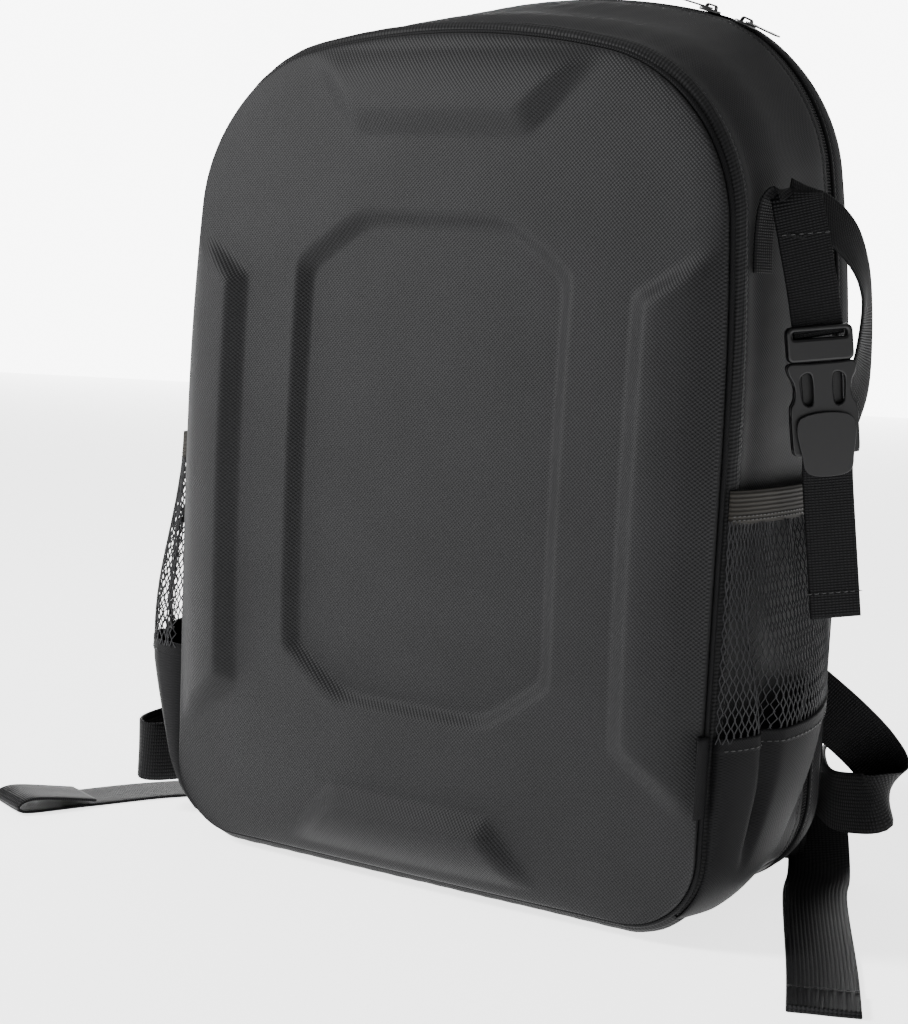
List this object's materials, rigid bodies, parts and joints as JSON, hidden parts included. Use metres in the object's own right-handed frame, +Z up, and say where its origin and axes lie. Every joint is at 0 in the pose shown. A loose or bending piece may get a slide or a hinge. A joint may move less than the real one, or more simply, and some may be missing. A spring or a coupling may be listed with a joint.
{
  "type": "hard-shell drone backpack case",
  "caption": "Hard-shell backpack case for a camera drone, with a moulded front, a zipped back door, foam wells, side mesh pockets and shoulder straps.",
  "frame": {"origin": "middle of the flat base, on the surface that the case stands on", "axes": "+Z up, the moulded shell faces -Y, +X is the side with the tripod strap"},
  "size_m": [0.5691, 0.2706, 0.498],
  "materials": {
    "shell_cloth": "fine oxford weave",
    "trim_black": "woven binding",
    "webbing": "ribbed webbing",
    "mesh": "open hexagonal mesh",
    "elastic": "ribbed elastic",
    "lining": "smooth lining",
    "foam": "closed-cell foam",
    "plastic": "moulded acetal",
    "metal": "black enamel"
  },
  "bodies": {
    "case": {"front_shell": "shell_cloth", "front_piping": "trim_black", "gusset": "shell_cloth", "base_panel": "shell_cloth", "gusset_lining": "lining", "zip_case": "plastic", "foam_floor": "foam", "foam_insert": "foam", "side_tag": "trim_black", "hinge_strip": "trim_black", "pocket_mesh_r": "mesh", "pocket_mesh_l": "mesh", "pocket_elastic_r": "elastic", "pocket_elastic_l": "elastic", "pocket_gore_r": "trim_black", "pocket_gore_l": "trim_black", "tripod_anchor": "webbing"},
    "back_door": {"back_panel": "shell_cloth", "zip_door": "plastic", "door_lining": "lining", "lid_pocket": "mesh", "back_pad_r": "mesh", "back_pad_l": "mesh", "lumbar_pad": "mesh", "strap_yoke": "webbing", "web_tab_r": "trim_black", "web_tab_l": "trim_black", "lower_web_r": "webbing", "lower_web_l": "webbing", "handle_tabs": "webbing"},
    "shoulder_strap_r": {"strap_pad_r": "trim_black", "lock_tab_r": "webbing", "ladder_lock_r": "plastic", "web_riser_r": "webbing"},
    "shoulder_strap_l": {"strap_pad_l": "trim_black", "lock_tab_l": "webbing", "ladder_lock_l": "plastic", "web_riser_l": "webbing"},
    "handle": {"grab_handle": "webbing"},
    "zip_slider_r": {"slider_r": "metal"},
    "zip_slider_l": {"slider_l": "metal"},
    "zip_pull_r": {"pull_r": "metal"},
    "zip_pull_l": {"pull_l": "metal"},
    "tripod_loop": {"tripod_strap": "webbing", "tripod_return": "webbing", "buckle_male": "plastic"},
    "tripod_release": {"buckle_female": "plastic", "tripod_tail": "webbing"}
  },
  "joints": [
    {"name": "back_door_open", "type": "hinge", "parent": "case", "child": "back_door", "pos_m": [0, 0.063, 0], "axis": [-1, 0, 0], "range_deg": [0, 100]},
    {"name": "shoulder_strap_r_swing", "type": "hinge", "parent": "back_door", "child": "shoulder_strap_r", "pos_m": [0.076, 0.097, 0.43], "axis": [1, 0, 0], "range_deg": [0, 45]},
    {"name": "shoulder_strap_l_swing", "type": "hinge", "parent": "back_door", "child": "shoulder_strap_l", "pos_m": [-0.076, 0.097, 0.43], "axis": [1, 0, 0], "range_deg": [0, 45]},
    {"name": "grab_handle_lift", "type": "hinge", "parent": "back_door", "child": "handle", "pos_m": [0, 0.097, 0.4365], "axis": [1, 0, 0], "range_deg": [0, 150]},
    {"name": "zip_slider_r_run", "type": "hinge", "parent": "case", "child": "zip_slider_r", "pos_m": [0.05178, 0.06, 0.38511], "axis": [0, 1, 0], "range_deg": [0, 51]},
    {"name": "zip_slider_l_run", "type": "hinge", "parent": "case", "child": "zip_slider_l", "pos_m": [0, 0.06, 0.13687], "axis": [0, -1, 0], "range_deg": [0, 26]},
    {"name": "zip_pull_r_lift", "type": "hinge", "parent": "zip_slider_r", "child": "zip_pull_r", "pos_m": [0.10437, 0.06, 0.48403], "axis": [0, -1, 0], "range_deg": [0, 100]},
    {"name": "zip_pull_l_lift", "type": "hinge", "parent": "zip_slider_l", "child": "zip_pull_l", "pos_m": [0.08193, 0.06, 0.49177], "axis": [0, 1, 0], "range_deg": [0, 100]},
    {"name": "tripod_strap_swing", "type": "hinge", "parent": "case", "child": "tripod_loop", "pos_m": [0.177, -0.044, 0.384], "axis": [0.5299, -0.848, 0], "range_deg": [0, 35]},
    {"name": "buckle_release", "type": "slide", "parent": "tripod_loop", "child": "tripod_release", "axis": [0.1107, 0.0692, -0.9914], "range_m": [0, 0.03]}
  ]
}
